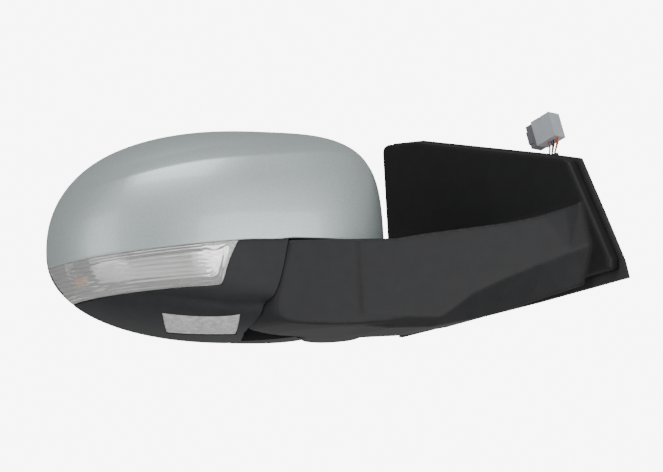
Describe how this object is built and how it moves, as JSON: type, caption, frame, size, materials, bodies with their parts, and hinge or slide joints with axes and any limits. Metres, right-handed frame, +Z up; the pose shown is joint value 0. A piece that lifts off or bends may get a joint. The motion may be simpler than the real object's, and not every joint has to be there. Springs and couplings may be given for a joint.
{
  "type": "door mirror",
  "caption": "Power-folding car door mirror with silver cap, side indicator, puddle lamp, adjustable heated glass, sail base and wiring connector.",
  "frame": {"origin": "middle of the mounting face, in the plane of the door", "axes": "+X into the door, -X outboard, -Y to the front of the car, +Z up"},
  "size_m": [0.3252, 0.2701, 0.1659],
  "materials": {
    "die_cast": "satin",
    "grey_plastic": "fine grain",
    "rubber": "matt",
    "steel": "satin",
    "nylon": "natural",
    "loom": "matt",
    "plug_grey": "satin",
    "wires": "coloured",
    "black_plastic": "fine grain",
    "silver_paint": "metallic gloss",
    "clear_lens": "clear",
    "reflector": "bright",
    "amber": "clear",
    "motor": "satin",
    "heater": "film",
    "mirror": "silvered"
  },
  "bodies": {
    "base": {"base_casting": "die_cast", "base_cover": "grey_plastic", "base_gasket": "rubber", "mounting_studs": "steel", "pivot_shaft": "steel", "fold_gear": "nylon", "fold_spring": "steel", "spring_retainer": "steel", "harness_grommet": "rubber", "harness_lead": "loom", "inner_loom": "loom", "harness_clip": "nylon", "connector_body": "plug_grey", "connector_lock": "plug_grey", "connector_wires": "wires", "cover_screws": "steel"},
    "head": {"head_frame": "black_plastic", "head_cap": "silver_paint", "lower_cover": "grey_plastic", "glass_bezel": "black_plastic", "indicator_lens": "clear_lens", "indicator_housing": "reflector", "indicator_bulb": "amber", "puddle_lens": "clear_lens", "puddle_housing": "reflector", "puddle_bulb": "clear_lens", "fold_housing": "black_plastic", "fold_housing_lid": "black_plastic", "fold_motor": "motor", "actuator_case": "black_plastic", "actuator_cover": "black_plastic", "actuator_motors": "motor", "actuator_screws": "steel", "frame_screws": "steel"},
    "worm": {"fold_worm": "steel"},
    "pan_wheel": {"pan_gear": "nylon"},
    "tilt_wheel": {"tilt_gear": "nylon"},
    "pan_rod": {"pan_plunger": "nylon"},
    "tilt_rod": {"tilt_plunger": "nylon"},
    "gimbal": {"gimbal_ring": "nylon"},
    "glass": {"glass_holder": "black_plastic", "heater_pad": "heater", "mirror_glass": "mirror"}
  },
  "joints": [
    {"name": "fold", "type": "hinge", "parent": "base", "child": "head", "pos_m": [-0.128, -0.012, 0], "axis": [0, 0, 1], "range_deg": [-60, 30]},
    {"name": "worm_spin", "type": "hinge", "parent": "head", "child": "worm", "pos_m": [-0.1348, -0.03292, 0.033], "axis": [0.9511, -0.309, 0], "range_deg": [-610, 310]},
    {"name": "glass_pan", "type": "hinge", "parent": "head", "child": "gimbal", "pos_m": [-0.18916, 0.04572, 0.018], "axis": [0, 0, 1], "range_deg": [-8, 8]},
    {"name": "glass_tilt", "type": "hinge", "parent": "gimbal", "child": "glass", "pos_m": [-0.18916, 0.04572, 0.018], "axis": [0.9511, -0.309, 0], "range_deg": [-8, 8]},
    {"name": "pan_rod_travel", "type": "slide", "parent": "head", "child": "pan_rod", "axis": [0.309, 0.9511, 0], "range_m": [-0.004, 0.004]},
    {"name": "tilt_rod_travel", "type": "slide", "parent": "head", "child": "tilt_rod", "axis": [0.309, 0.9511, 0], "range_m": [-0.004, 0.004]},
    {"name": "pan_wheel_spin", "type": "hinge", "parent": "head", "child": "pan_wheel", "pos_m": [-0.17123, 0.01677, 0.018], "axis": [0.309, 0.9511, 0], "range_deg": [-115, 115]},
    {"name": "tilt_wheel_spin", "type": "hinge", "parent": "head", "child": "tilt_wheel", "pos_m": [-0.19595, 0.0248, 0.044], "axis": [0.309, 0.9511, 0], "range_deg": [-115, 115]}
  ],
  "couplings": [
    {"joint": "worm_spin", "follows": "fold", "ratio": 10},
    {"joint": "pan_rod_travel", "follows": "glass_pan", "m_per_rad": 0.026},
    {"joint": "tilt_rod_travel", "follows": "glass_tilt", "m_per_rad": -0.026},
    {"joint": "pan_wheel_spin", "follows": "glass_pan", "ratio": 13.6},
    {"joint": "tilt_wheel_spin", "follows": "glass_tilt", "ratio": -13.6}
  ]
}
